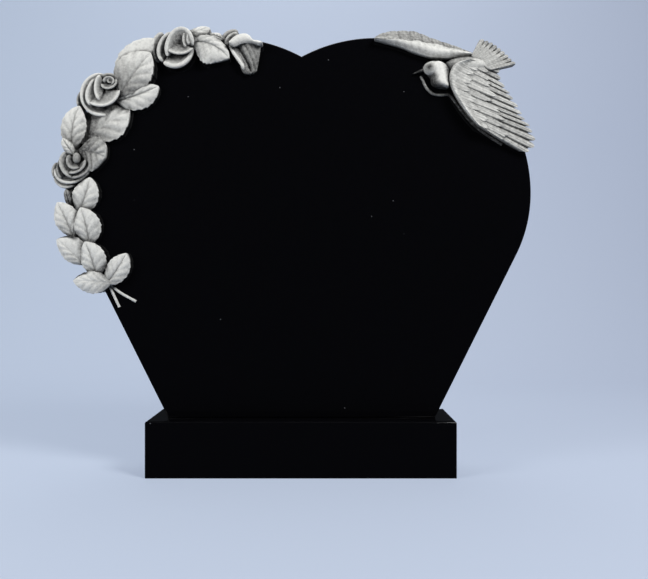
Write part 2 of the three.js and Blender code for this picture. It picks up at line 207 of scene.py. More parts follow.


# Leaves of the garland, from the crown of the stele down to the cut stems: half-widths are seen along the
# way from base to tip, bow bends the midrib to the left, rise is the height of base and tip; shade is painted
# shade at the base that fades out towards the tip, and curl paints shade on the side near the tip that turns
# away, 1 for the left and -1 for the right
leaves = [
    dict(base=(-290, 1136), tip=(-190, 1093), halves=(24, 54), bow=13, rise=(16, 14)),
    dict(base=(-314, 1150), tip=(-242, 1175), halves=(13, 24), bow=0, rise=(8, 8), rib=0.3),
    dict(base=(-204, 1144), tip=(-242, 1160), halves=(13, 11), bow=0, rise=(8, 4)),
    dict(base=(-484, 1016), tip=(-388, 1146), halves=(46, 34), bow=6, rise=(6, 10), rib=0.2),
    dict(base=(-478, 992), tip=(-396, 1106), halves=(56, 46), bow=2, rise=(16, 18), widest=0.52, vein=1.6,
         shade=0.75, fade=0.9),
    dict(base=(-486, 980), tip=(-376, 1020), halves=(26, 40), bow=-4, rise=(10, 12)),
    dict(base=(-601, 850), tip=(-584, 968), halves=(34, 35), bow=7, rise=(18, 12), vein=1.5, shade=0.7),
    dict(base=(-596, 838), tip=(-626, 882), halves=(16, 14), bow=0, rise=(22, 18)),
    dict(base=(-592, 868), tip=(-452, 958), halves=(54, 54), bow=6, rise=(-2, 10), widest=0.6, rib=0.3,
         vein=2.2, shade=0.9, fade=0.95, lean=-8),
    dict(base=(-588, 850), tip=(-516, 833), halves=(46, 52), bow=4, rise=(16, 12), widest=0.62, vein=2.2,
         shade=0.9, fade=1.3),
    dict(base=(-588, 686), tip=(-556, 780), halves=(36, 35), bow=-4, rise=(6, 14)),
    dict(base=(-602, 622), tip=(-643, 714), halves=(31, 37), bow=-3, rise=(6, 13)),
    dict(base=(-559, 602), tip=(-580, 700), halves=(33, 39), bow=-4, rise=(7, 18)),
    dict(base=(-574, 550), tip=(-643, 616), halves=(27, 42), bow=-3, rise=(7, 16), rib=0.5, curl=-1),
    dict(base=(-540, 518), tip=(-568, 610), halves=(31, 38), bow=-4, rise=(8, 20)),
    dict(base=(-500, 502), tip=(-598, 507), halves=(34, 27), bow=-2, rise=(14, 20), rib=0.4, curl=-1),
    dict(base=(-514, 498), tip=(-460, 580), halves=(31, 31), bow=-4, rise=(12, 16)),
    dict(base=(-612, 706), tip=(-622, 750), halves=(11, 11), bow=0, rise=(2, 6), shade=0.85, fade=2.5),
]
leafForm = dict(rows=48, columns=37, crown=7.5, cleft=0.45, widest=0.49, point=0.78, ribNarrowness=0.8,
                veins=4.5, slant=0.4, veinDepth=0.5, veinWidth=0.14, puff=0.6, ribDepth=0.55, ribWidth=0.1,
                toothDepth=0.08, teethPerVein=1.6, wave=2.6, baseShade=0.4, fade=0.7,
                curlShade=1.0, curlFrom=0.62, curlStart=0.5,
                curlSoft=0.2, edgeCrowding=1.1, slantEase=0.3, veinFrom=0.15, veinTo=0.8, veinSoft=0.2,
                ribEnd=0.2, ripples=1.3, rippleTurn=2, toothEdge=6)


# ovate outline: a power of u times a power of 1 - u, full at the base and pointed at the tip; relief is a
# dome cleft along its midrib, with side veins along lines of u minus slant times |v|, swollen between them,
# and a saw-toothed rim
def leafShell(leaf):
    f = leafForm
    u = crowded(f["rows"])
    t = np.linspace(-1, 1, f["columns"])
    v = np.sign(t) * np.abs(t) ** f["edgeCrowding"]
    a = np.abs(v)[None]
    widest, rib, vein = leaf.get("widest", f["widest"]), leaf.get("rib", 1), leaf.get("vein", 1)
    outline = (u / widest) ** (f["point"] * widest / (1 - widest)) * ((1 - u) / (1 - widest)) ** f["point"]
    o = outline[:, None]
    lean = f["slant"] * a * (1 - f["slantEase"] * a)
    phase = f["veins"] * (u[:, None] - lean) + 0.5 * (v[None] > 0)
    gap = phase - np.round(phase)
    fade = smooth(a / f["veinFrom"]) * (1 - smooth((a - f["veinTo"]) / f["veinSoft"]))
    relief = f["crown"] * mix(1 - a ** 2, np.sin(np.pi * a ** f["ribNarrowness"]), f["cleft"] * rib) * o
    relief = relief - f["puff"] * vein * np.cos(np.pi * gap * 2) * fade * o
    relief = relief - f["veinDepth"] * vein * np.exp(-(gap / f["veinWidth"]) ** 2) * fade * o
    ribFade = smooth((1 - u[:, None]) / f["ribEnd"])
    relief = relief - f["ribDepth"] * rib * np.exp(-(a / f["ribWidth"]) ** 2) * ribFade
    ripple = 2 * np.pi * (f["ripples"] * u[:, None] + rng.random()) + f["rippleTurn"] * (v[None] > 0)
    relief = relief + f["wave"] * np.sin(ripple) * a ** 2 * o
    relief = relief + leaf.get("lean", 0) * v[None]
    saw = (f["teethPerVein"] * phase) % 1
    teeth = 1 - f["toothDepth"] * saw * a ** f["toothEdge"]
    line = bowedLine(leaf["base"], leaf["tip"], leaf["bow"], u)
    # painted shade: darker towards the base, where the leaf runs under its neighbours, and on the curled side
    # near the tip, which turns away from the light
    shade = leaf.get("shade", f["baseShade"]) * (1 - smooth(u / leaf.get("fade", f["fade"])))[:, None]
    curledSide = smooth((leaf.get("curl", 0) * v - f["curlFrom"]) / f["curlSoft"])[None]
    curledEnd = smooth((u - f["curlStart"]) / f["curlSoft"])[:, None]
    shade = np.maximum(shade, f["curlShade"] * curledSide * curledEnd)
    return bladeShell(line, leaf["halves"], leaf["rise"], outline, relief, v, teeth, shade)


# Roses: each petal's rim is an arc of an ellipse with its middle, its two half sizes, its tilt and the arc's
# start and end in degrees; then come the rim's rise, lip, depth and painted shade. Outermost petals come
# first
petalFields = ("middle", "size", "tilt", "arc", "rise", "lip", "depth", "shade")
roses = [
    dict(centre=(-338, 1119), radius=52, knob=None, petals=[
        ((-350, 1115), (40, 50), 25, (82, 198), 10, 4.5, 8, 0.3),
        ((-340, 1121), (43, 33), 60, (39, 178), 17, 5, 8, 0.15),
        ((-336, 1133), (50, 62), 10, (226, 342), 20, 6, 8, 0.05),
        ((-318, 1117), (34, 50), -10, (15, 212), 29, 5, 12, 0.1),
        ((-322, 1138), (44, 36), -15, (238, 343), 27, 3, 9, 0.15),
        ((-273, 1140), (36, 36), 0, (150, 218), 26, 2.2, 6, 0.3),
        ((-262, 1140), (36, 36), 0, (158, 206), 28, 2.2, 6, 0.3),
    ]),
    dict(centre=(-528, 997), radius=46, knob=None, petals=[
        ((-556, 984), (36, 34), 0, (132, 206), 4, 4, 6, 0.4),
        ((-526, 998), (53, 54), 0, (86, 284), 14, 4.6, 7, 0),
        ((-506, 1024), (30, 26), 0, (135, 15), 18, 3.5, 6, 0.4),
        ((-507, 1014), (64, 41), 38, (100, 196), 20, 4, 6, 0),
        ((-525, 1010), (48, 44), 0, (232, 358), 25, 3.4, 7, 0),
        ((-514, 1013), (25, 39), 0, (122, 236), 26, 3.4, 5, 0),
        ((-503, 1026), (20, 15), 20, (160, 378), 26, 2.4, 4, 0.35),
        ((-503, 1030), (13, 10), 0, (210, -70), 27, 2.2, 4, 0.4),
        ((-501, 1031), (5, 5), 0, (60, 330), 25, 2.2, 2, 0.45),
    ]),
    dict(centre=(-604, 806), radius=47, knob=dict(centre=(-589, 829), half=(10, 15, 10), rise=19, shade=0.55),
         petals=[
        ((-626, 797), (30, 28), 0, (128, 222), 8, 4.5, 8, 0.4),
        ((-613, 800), (47, 37), 60, (135, 240), 8, 4.2, 8, 0.15),
        ((-602, 807), (49, 38), 30, (146, 326), 14, 4.2, 9, 0.05),
        ((-599, 802), (42, 40), 0, (132, 222), 16, 3.6, 9, 0.5),
        ((-592, 805), (37, 25), 20, (5, -128), 20, 3.4, 9, 0.5),
        ((-589, 812), (36, 44), 60, (61, 187), 24, 3.6, 9, 0.35),
        ((-592, 811), (28, 19), 30, (0, -156), 25, 2.8, 8, 0.45),
        ((-594, 821), (18, 20), 10, (117, 302), 27, 3, 6, 0.5),
    ]),
]
# a petal's section, from the wall under the lip over the crest and down the face: how far out in lips, how
# far on the way to the cup's middle, how far below the crest in lips and in depths, and its painted shade,
# dark on the wall under the lip and down in the cup
petalSection = [
    (0.5, 0, 2.4, 0, 0.9), (0.9, 0, 1.3, 0, 0.5), (1.0, 0, 0.8, 0, 0.2), (0.85, 0, 0.35, 0, 0),
    (0.45, 0, 0.07, 0, 0), (0, 0, 0, 0, 0), (-0.45, 0, 0.08, 0, 0), (-0.85, 0, 0.3, 0, 0),
    (-1.1, 0, 0.6, 0.02, 0.1),
    (-1.1, 0.12, 0.8, 0.12, 0.45), (-0.9, 0.26, 0.8, 0.32, 0.5), (-0.6, 0.42, 0.8, 0.55, 0.5),
    (-0.3, 0.58, 0.8, 0.78, 0.55), (0, 0.75, 0.8, 0.95, 0.6)]
petalForm = dict(rows=46, droop=7, pinch=0.35, endLip=0.25)


# points and unit tangents along an arc of an ellipse
def ellipseArc(petal, t):
    tilt = math.radians(petal["tilt"])
    turn = np.array([[math.cos(tilt), math.sin(tilt)], [-math.sin(tilt), math.cos(tilt)]])
    angle = np.radians(mix(*petal["arc"], t))
    wide, tall = petal["size"]
    tangent = np.stack([-wide * np.sin(angle), tall * np.cos(angle)], -1) @ turn
    points = np.stack([wide * np.cos(angle), tall * np.sin(angle)], -1) @ turn + petal["middle"]
    return points, tangent / np.linalg.norm(tangent, axis=1, keepdims=True)


# the section carried along a rim; towards both ends the lip narrows and the crest sinks
def rimShell(line, middle, rise, lip, depth, paintedShadeWithTone=0.0):
    f = petalForm
    rim, tangent = line
    out = np.stack([tangent[:, 1], -tangent[:, 0]], -1)
    inward = np.array(middle, float) - rim
    out = out * (1 if (out * inward).sum() < 0 else -1)
    full = np.sqrt(np.clip(np.sin(np.pi * np.linspace(0, 1, len(rim))) / f["pinch"], 0, 1))[:, None]
    off, way, fall, deep, shade = (np.array(petalSection)[:, k][None] for k in range(5))
    lip = lip * mix(f["endLip"], 1, full)
    place = rim[:, None] + out[:, None] * (off * lip)[..., None] + inward[:, None] * way[..., None]
    height = rise - f["droop"] * (1 - full) - fall * lip - deep * depth
    feet = np.full((len(rim), 2), -undercut)
    place = np.concatenate([place, place[:, [-1, 0]]], 1)
    # painted shade from the section, joined with the petal's own painted shade
    shade = 1 - (1 - np.concatenate([shade, shade[:, [-1, 0]]], 1)) * (1 - paintedShadeWithTone)
    return closedShell(carved(place, np.concatenate([height, feet], 1)), shade)


def petalShell(row):
    petal = dict(zip(petalFields, row))
    line = ellipseArc(petal, np.linspace(0, 1, petalForm["rows"]))
    return rimShell(line, petal["middle"], petal["rise"], petal["lip"], petal["depth"], petal["shade"])


# a profile of radius and height turned about an axis; aside is any way that isn't the axis
aside = (0.3, 0.2, 1.0)
forward = np.array([0, -1.0, 0])


def turnedShell(origin, axis, profile, around=28, shade=0.0):
    first = np.cross(axis, aside)
    first = first / np.linalg.norm(first)
    second = np.cross(axis, first)
    angle = np.linspace(0, 2 * np.pi, around, endpoint=False)[None, :, None]
    radius, height = (np.array(profile, float)[:, k][:, None, None] * mm for k in (0, 1))
    rings = origin + radius * (first * np.cos(angle) + second * np.sin(angle)) + height * axis
    return closedShell(rings, shade)


# the stone that the petals grow from: shares of the rose's radius and their heights
flowerForm = dict(shares=(0.8, 0.9, 0.85, 0.6), heights=(-undercut, -10, 2.0, 4))


def flowerBlock(rose):
    profile = [(share * rose["radius"], height) for share, height in zip(*flowerForm.values())]
    return turnedShell(carved(np.array(rose["centre"], float), 0), forward, profile)


# a rounded mass: an ellipsoid with its middle at rise
knobForm = dict(rows=20, around=28)


def knobShell(knob):
    polar = np.linspace(poleGap, np.pi - poleGap, knobForm["rows"])[:, None]
    around = np.linspace(0, 2 * np.pi, knobForm["around"], endpoint=False)[None]
    wide, tall, out = knob["half"]
    place = np.stack([wide * np.sin(polar) * np.cos(around), tall * np.sin(polar) * np.sin(around)], -1)
    height = knob["rise"] - out * np.cos(polar) + 0 * around
    return closedShell(carved(place + np.array(knob["centre"], float), height), knob["shade"])


def roseShells(rose):
    shells = [flowerBlock(rose)] + [petalShell(row) for row in rose["petals"]]
    return shells + ([knobShell(rose["knob"])] if rose["knob"] else [])


# The half-open bud that ends the garland: a folded body, two sepals behind it, a bright rim down its left
# side, and a petal turned back over its mouth. A fold is its place across, its width and its depth
bud = dict(
    foot=(-137, 1052), mouth=(-143, 1136), halves=(36, 38), rise=(4, 10), crown=12, rows=48, columns=41,
    footRound=0.12, footShare=0.42, opening=0.8, footCrown=0.7, foldStart=0.2, shade=(0.8, 0.55), slant=1.2,
    folds=[(0.27, 0.17, 9), (-0.28, 0.13, 3), (0.62, 0.1, 1.5), (-0.7, 0.1, 1.5)],
    cap=dict(upper=[(-189, 1134), (-171, 1150), (-148, 1155), (-135, 1149), (-126, 1139), (-114, 1137),
                    (-102, 1133)],
             lower=[(-188, 1126), (-175, 1121), (-160, 1127), (-142, 1130), (-123, 1128), (-110, 1124),
                    (-102, 1128)],
             rise=22, crown=6),
    rim=dict(route=[(-190, 1129), (-179, 1108), (-168, 1092), (-157, 1076), (-151, 1063)],
             middle=(-140, 1106), rise=16, lip=4, depth=6),
    sepals=[((-178, 1137), (32, 31), 0, (178, 72), 8, 4.5, 8, 0.45),
            ((-167, 1131), (33, 30), 0, (192, 92), 12, 3.5, 8, 0.3)])


# the body opens from a round foot to the mouth; its folds are grooves of a bell section that run aslant
def budShells():
    u = crowded(bud["rows"])
    v = np.linspace(-1, 1, bud["columns"])
    rounded = np.sqrt(1 - (1 - np.minimum(1, u / bud["footRound"])) ** 2)
    outline = rounded * mix(bud["footShare"], 1, u ** bud["opening"])
    relief = bud["crown"] * (1 - v ** 2)[None] * mix(bud["footCrown"], 1, u)[:, None]
    for centre, width, depth in bud["folds"]:
        away = v[None] - centre - bud["slant"] * (u[:, None] - 0.5)
        relief = relief - depth * np.exp(-(away / width) ** 2) * smooth(u / bud["foldStart"])[:, None]
    line = bowedLine(bud["foot"], bud["mouth"], 0, u)
    # painted shade on the body, darker towards the foot
    shade = mix(*bud["shade"], u)[:, None]
    body = bladeShell(line, bud["halves"], bud["rise"], outline, relief, v, shade=shade)
    r = bud["rim"]
    rimLine = splineLine(r["route"], np.linspace(0, 1, petalForm["rows"]))
    rim = rimShell(rimLine, r["middle"], r["rise"], r["lip"], r["depth"])
    return [body, bandShell(bud["cap"]), rim] + [petalShell(row) for row in bud["sepals"]]


# The bed of stone behind the garland: a block section carried along the lobe's edge
bed = dict(inner=395, outer=433, start=104, end=192, rise=-4, chamfer=8, steps=60)


def bedShell():
    angle = np.radians(np.linspace(bed["start"], bed["end"], bed["steps"]))[:, None]
    section = [(bed["inner"], -undercut), (bed["inner"], bed["rise"]),
               (bed["outer"] - bed["chamfer"], bed["rise"]),
               (bed["outer"], bed["rise"] - bed["chamfer"]), (bed["outer"], -undercut)]
    radius, rise = (np.array(section, float)[:, k][None] for k in (0, 1))
    place = np.stack([-lobeX / mm + radius * np.cos(angle), lobeZ / mm + radius * np.sin(angle)], -1)
    return closedShell(carved(place, rise + 0 * angle))


# Cut stems and the fine contour under the dove's breast: a round section carried along a route
stems = [dict(route=[(-512, 502), (-482, 438)], radius=3.6, shade=0.15),
         dict(route=[(-512, 502), (-479, 476), (-438, 453)], radius=3.6, shade=0.15)]
breastLine = dict(radius=3.6, shade=0.68, route=[
    (316, 1049), (321, 1037), (330, 1019), (341, 1007), (352, 1001), (368, 999), (390, 999), (404, 984),
    (420, 962), (452, 924), (488, 895), (530, 868)])


def beadShell(bead, sunk=1, rows=26, around=14):
    middle, tangent = splineLine(bead["route"], np.linspace(0, 1, rows))
    side = np.stack([-tangent[:, 1], tangent[:, 0]], -1)
    angle = np.linspace(0, 2 * np.pi, around, endpoint=False)
    place = middle[:, None] + side[:, None] * (bead["radius"] * np.cos(angle))[None, :, None]
    height = sunk + bead["radius"] * np.sin(angle)[None] + np.zeros((rows, 1))
    return closedShell(carved(place, height), bead["shade"])


# The dove: a wing is a sheet from its leading edge to its feathers' ends, in layers that overlap like
# shingles. Each layer ends at a share of the sheet, read along the wing, and has its own count of feathers
nearWing = dict(
    lead=[(436, 1086), (404, 1076), (389, 1052), (388, 1026), (398, 999), (417, 967), (439, 938), (458, 917)],
    trail=[(519, 1071), (525, 1042), (534, 1017), (555, 990), (576, 948), (608, 904), (616, 872),
           (606, 853), (587, 843)],
    rise=(24, 10), arm=6, armWidth=0.09, bulge=0, lag=1.3, notch=0.09, rows=190, columns=84, layers=[
        dict(ends=(1.1, 1.1), count=13, ridge=1.8, roll=1.6, lift=0, scallop=0, shift=0.0, shade=0.36),
        dict(ends=(0.72, 0.64, 0.6, 0.62), count=10, ridge=0.9, roll=0.8, lift=1.4, scallop=0.12,
             shift=0.4, shade=0.34),
        dict(ends=(0.4, 0.34, 0.3, 0.26), count=9, ridge=0.3, roll=0.3, lift=2.2, scallop=0.1,
             shift=0.1, shade=0.26),
    ])
farWing = dict(
    lead=[(450, 1100), (393, 1092), (351, 1092), (322, 1099), (292, 1109), (267, 1120), (230, 1131),
          (193, 1142)],
    trail=[(452, 1107), (402, 1127), (369, 1138), (335, 1150), (306, 1162), (281, 1166), (243, 1165),
           (214, 1160), (193, 1149)],
    rise=(10, 9), arm=0, armWidth=0.12, bulge=9, lag=1.3, notch=0.03, rows=130, columns=48, layers=[
        dict(ends=(1.1, 1.1), count=9, ridge=0.5, roll=-0.5, lift=0, scallop=0, shift=0.0, shade=0.5),
        dict(ends=(0.72, 0.74, 0.72, 0.6, 0.4, 0.2), count=5, ridge=0, roll=0, lift=1, scallop=0.06,
             shift=0.5, shade=0.08),
    ])
tail = dict(
    lead=[(445, 1096), (459, 1081), (477, 1068), (494, 1060)],
    trail=[(469, 1142), (502, 1132), (532, 1107), (565, 1076)],
    rise=(18, 14), arm=0, armWidth=0.1, bulge=0, lag=1.0, notch=0.06, rows=120, columns=40, layers=[
        dict(ends=(1.1, 1.1), count=9, ridge=1.7, roll=0.6, lift=0, scallop=0, shift=0.0, shade=0.42),
        dict(ends=(0.8, 0.79, 0.8), count=9, ridge=0.2, roll=0.2, lift=1.6, scallop=0.05,
             shift=0.0, shade=0.42),
    ])
featherForm = dict(groove=2.4, grooveWidth=0.09, grooveRidge=2.6, grooveShade=0.5, shadeRidge=2.4, shaft=0.6,
                   shaftWidth=0.06, shaftRidge=1, streak=0.3, streaks=3, streakShade=0.07, slope=2.0,
                   rootGrowth=0.35, roundness=2.5, unevenNotch=0.5, toneSpread=0.2, edgeDrop=6,
                   edgeWidth=0.02, bulgeAt=0.36, bulgeWidth=0.3, blotch=0.1, blotchFrom=0.1,
                   blotchWaves=((9, 3), (5, -6)))


# the height is the highest layer that reaches so far out; across a feather it is a ridge with a roll to one
# side, a shaft, fine streaks and a groove along both edges, all growing from root to end. Each layer has its
# own painted shade, and the grooves get painted shade towards the feathers' ends; a random spread and the
# streaks vary the tone. Blotches are the product of two waves that cross the wing
def featheredShell(wing):
    f = featherForm
    w = np.linspace(0, 1, wing["rows"])
    u = np.linspace(0, 1, wing["columns"])[None]
    height = np.full((wing["rows"], wing["columns"]), -np.inf)
    shade = np.zeros(height.shape)
    for layer in wing["layers"]:
        ridge = layer["ridge"]
        phase = w[:, None] * layer["count"] + layer["shift"]
        p = phase - np.floor(phase) - 0.5
        uneven = rng.uniform(-0.5, 0.5, layer["count"] + 2)[np.floor(phase).astype(int)]
        rounded = np.abs(2 * p) ** f["roundness"]
        fromEdge = 0.5 - np.abs(p)
        streaks = np.cos(2 * np.pi * f["streaks"] * p)
        ends = np.interp(w, np.linspace(0, 1, len(layer["ends"])), layer["ends"])[:, None]
        ends = ends - layer["scallop"] * (rounded + uneven)
        grown = mix(f["rootGrowth"], 1, np.clip(u / ends, 0, 1))
        across = ridge * (1 - 4 * p ** 2) + layer["roll"] * 2 * p + f["streak"] * streaks
        across = across + f["shaft"] * np.exp(-(p / f["shaftWidth"]) ** 2) * (ridge > f["shaftRidge"])
        across = across - f["groove"] * np.exp(-(fromEdge / f["grooveWidth"]) ** 2) * ridge / f["grooveRidge"]
        top = layer["lift"] + f["slope"] * u / ends + across * grown
        groove = np.exp(-(fromEdge / (2 * f["grooveWidth"])) ** 2) * smooth((u / ends - 0.5) / 0.5)
        here = (u < ends) & (top > height)
        height = np.where(here, top, height)
        paintedShadeWithTone = layer["shade"] + f["toneSpread"] * uneven + f["streakShade"] * streaks
        paintedShadeWithTone = paintedShadeWithTone + f["grooveShade"] * ridge / f["shadeRidge"] * groove
        shade = np.where(here, np.clip(paintedShadeWithTone, 0, 1), shade)
        if layer is wing["layers"][0]:
            reach = 1 - wing["notch"] * (rounded + f["unevenNotch"] * uneven)
    height = height + mix(*wing["rise"], u) + wing["arm"] * np.exp(-(u / wing["armWidth"]) ** 2)
    height = height - f["edgeDrop"] * np.exp(-(u / f["edgeWidth"]) ** 2)
    height = height + wing["bulge"] * np.exp(-((u - f["bulgeAt"]) / f["bulgeWidth"]) ** 2)
    first, second = (2 * np.pi * (along * w[:, None] + out * u) for along, out in f["blotchWaves"])
    blotch = np.cos(first) * np.cos(second + 1) * (shade > f["blotchFrom"])
    shade = np.clip(shade + f["blotch"] * blotch, 0, 1)
    lead, trail = splineLine(wing["lead"], w ** wing["lag"])[0], splineLine(wing["trail"], w)[0]
    return sheetShell(mix(lead[:, None], trail[:, None], (u * reach)[..., None]), height, shade, True)


# Neck and breast are one rounded sheet between the throat's line and the nape's line, from crown to breast;
# swell is how far it stands out along that way. Head and back are rounded masses
trunk = dict(
    throat=[(362, 1086), (348, 1085), (336, 1079), (330, 1068), (330, 1058), (334, 1050), (340, 1043),
            (342, 1034), (345, 1025), (356, 1018), (382, 1013)],
    nape=[(362, 1086), (377, 1081), (388, 1072), (392, 1053), (391, 1030), (390, 1018), (382, 1013)],
    swell=(5, 16, 22, 24, 24, 25, 27, 29, 29, 25, 8), rise=2, rows=80, columns=41, window=15,
    roundness=(2.2, 0.6), edgeShade=0.95, shadeFrom=-0.1, shadeReach=0.85, crownShade=0.1, breastFrom=0.25,
    breastReach=0.25)
head = dict(centre=(349, 1066), half=(29, 20, 17), rise=10, shade=0.0)
back = dict(centre=(440, 1076), half=(62, 24, 24), rise=2, shade=0.25)
beak = dict(root=(326, 1064), tip=(293, 1054), radius=5.5, rise=(9, 5), taper=0.8, rows=14, around=18,
            shade=1.0)
eye = dict(place=(335, 1067), rise=23, radius=2.4, rows=12, socketShadeWidth=13, socketShade=0.95)


# across the sheet the height is a half round, so both edges go down to the face; the throat's side is
# painted with shade, faint at the crown and full on the breast. The swell is smoothed by a bell-shaped window
def trunkShell():
    t = crowded(trunk["rows"])
    v = np.linspace(-1, 1, trunk["columns"])[None]
    throat, nape = (splineLine(trunk[key], t)[0][:, None] for key in ("throat", "nape"))
    swell = np.interp(t, np.linspace(0, 1, len(trunk["swell"])), trunk["swell"])
    bell = np.hanning(trunk["window"])
    padded = np.pad(swell, trunk["window"] // 2 - 1, "edge")
    swell = np.convolve(padded, bell[1:-1] / bell.sum(), "valid")[:, None]
    inner, outer = trunk["roundness"]
    height = trunk["rise"] + swell * (1 - np.abs(v) ** inner) ** outer
    breast = smooth((t - trunk["breastFrom"]) / trunk["breastReach"])[:, None]
    shade = trunk["edgeShade"] * smooth((trunk["shadeFrom"] - v) / trunk["shadeReach"])
    shade = shade * mix(trunk["crownShade"], 1, breast)
    return sheetShell(mix(throat, nape, (v[..., None] + 1) / 2), height, shade)


def beakShell():
    root, tip = (carved(np.array(beak[key], float), rise) for key, rise in zip(("root", "tip"), beak["rise"]))
    way = tip - root
    length = np.linalg.norm(way)
    t = np.linspace(0, 1, beak["rows"])
    profile = np.stack([beak["radius"] * (1 - t) ** beak["taper"], t * length / mm], -1)
    return turnedShell(root, way / length, profile, beak["around"], beak["shade"])


def eyeShell():
    t = np.linspace(poleGap, np.pi - poleGap, eye["rows"])
    profile = np.stack([np.sin(t), -np.cos(t)], -1) * eye["radius"]
    return turnedShell(carved(np.array(eye["place"], float), eye["rise"]), forward, profile)


# The polished stones: an outline with its edges taken off by a round arris
plinthForm = dict(corner=0.0012, cornerSteps=5, arrises=(0.004, 0.001))
arrisForm = dict(steps=6, faceScales=(0.7, 0.35))


# an arc in the plane, without its last point
def arcPoints(centre, radius, start, end):
    angle = np.linspace(start, end, math.ceil(abs(end - start) / slab["arcStep"]) + 1)[:-1]
    return np.stack([centre[0] + radius * np.cos(angle), centre[1] + radius * np.sin(angle)], -1)


# foot, straight flank, flank arc, two lobes that meet in the notch, and back down
def heartOutline():
    flankX = slab["halfWidth"] - slab["flankRadius"]
    lean = slab["flankLean"]
    turnIn = (flankX + slab["flankRadius"] * math.cos(lean), lobeZ - slab["flankRadius"] * math.sin(lean))
    footHalf = turnIn[0] - math.tan(lean) * (turnIn[1] - footZ)
    notch = math.acos(-lobeX / slab["lobeRadius"])
    flank = np.linspace((footHalf, footZ), turnIn, slab["flankSteps"])[:-1]
    right = np.concatenate([flank, arcPoints((flankX, lobeZ), slab["flankRadius"], -lean, 0),
                            arcPoints((lobeX, lobeZ), slab["lobeRadius"], 0, notch)])
    left = right[::-1] * [-1, 1]
    tip = np.array([[0, lobeZ + slab["lobeRadius"] * math.sin(notch)]])
    return np.concatenate([right, tip, left])


# a rectangle with small round corners, counter-clockwise
def blockOutline(low, high, corner):
    quarter = math.pi / 2
    centres = [(high[0] - corner, low[1] + corner), (high[0] - corner, high[1] - corner),
               (low[0] + corner, high[1] - corner), (low[0] + corner, low[1] + corner)]
    turns = np.linspace(0, quarter, plinthForm["cornerSteps"])
    angles = [turns + k * quarter for k in (-1, 0, 1, 2)]
    return np.concatenate([np.stack([c[0] + corner * np.cos(a), c[1] + corner * np.sin(a)], -1)
                           for c, a in zip(centres, angles)])


# stages of inset and depth from the first face to the second; the faces are rings drawn in to a centre
def arrisedShell(outline, depth, arrises, centre, place):
    first, last = arrises
    edge = np.roll(outline, -1, 0) - outline
    normal = np.stack([-edge[:, 1], edge[:, 0]], -1) / np.linalg.norm(edge, axis=1, keepdims=True)
    before = np.roll(normal, 1, 0)
    inward = (normal + before) / (1 + (normal * before).sum(1, keepdims=True))
    turn = np.linspace(0, math.pi / 2, arrisForm["steps"])
    inset = np.concatenate([first * (1 - np.sin(turn)), last * (1 - np.cos(turn))])
    deep = np.concatenate([first * (1 - np.cos(turn)), depth - last * (1 - np.sin(turn))])
    rings = [place(outline + inward * i, d) for i, d in zip(inset, deep)]
    centre = np.array(centre)
    for scale in arrisForm["faceScales"]:
        faces = [centre + (outline + inward * arris - centre) * scale for arris in arrises]
        rings = [place(faces[0], 0)] + rings + [place(faces[1], depth)]
    return closedShell(np.array(rings))


def inSlab(outline, depth):
    return np.stack([outline[:, 0], np.full(len(outline), frontY + depth), outline[:, 1]], -1)


def inPlinth(outline, depth):
    return np.stack([outline[:, 0], outline[:, 1], np.full(len(outline), plinthHigh.z - depth)], -1)


# Painted shade in the hollows, where shade falls among the neighbours: a height map of the whole carving over
# the polished face is blurred at a few widths, and a point is painted darker by how far the blurred height
# stands above it; the flat back has one even painted shade
paintedHollowShadeForm = dict(cell=2.5, margin=80, widths=(4, 10, 24), steep=(0.8, 0.65, 0.6), weights=(0.45, 0.65, 0.65),
                  air=-30, backShade=0.35, backReach=20)


def paintedHollowShade(points):
    f = paintedHollowShadeForm
    x, z, height = points[:, 0] / mm, points[:, 2] / mm, (frontY - points[:, 1]) / mm
    low = np.array([x.min(), z.min()]) - f["margin"]
    shape = np.ceil((np.array([x.max(), z.max()]) + f["margin"] - low) / f["cell"]).astype(int)
    gridX, gridZ = (low[k] + f["cell"] * (np.arange(shape[k]) + 0.5) for k in (0, 1))
    cellX, cellZ = np.meshgrid(np.abs(gridX), gridZ, indexing="ij")
    lobe = np.hypot(cellX - lobeX / mm, cellZ - lobeZ / mm) < slab["lobeRadius"] / mm
    flankX = slab["halfWidth"] - slab["flankRadius"]
    flank = np.hypot(np.maximum(0, cellX - flankX / mm), cellZ - lobeZ / mm) < slab["flankRadius"] / mm
    ground = np.where(lobe | flank, 0.0, f["air"])
    i, j = ((x - low[0]) / f["cell"]).astype(int), ((z - low[1]) / f["cell"]).astype(int)
    np.maximum.at(ground, (i, j), height)
    for axis in (0, 1):
        ground = np.maximum(ground, np.maximum(np.roll(ground, 1, axis), np.roll(ground, -1, axis)))
    waves = np.fft.rfft2(ground)
    across, along = np.fft.fftfreq(shape[0], f["cell"])[:, None], np.fft.rfftfreq(shape[1], f["cell"])[None]
    clear = np.ones(len(points))
    for width, steep, weight in zip(f["widths"], f["steep"], f["weights"]):
        bell = np.exp(-2 * (np.pi * width) ** 2 * (across ** 2 + along ** 2))
        blurred = np.fft.irfft2(waves * bell, s=shape)
        clear *= 1 - weight * smooth((blurred[i, j] - height) / (steep * width))
    return mix(f["backShade"], 1 - clear, smooth((height + undercut) / f["backReach"]))


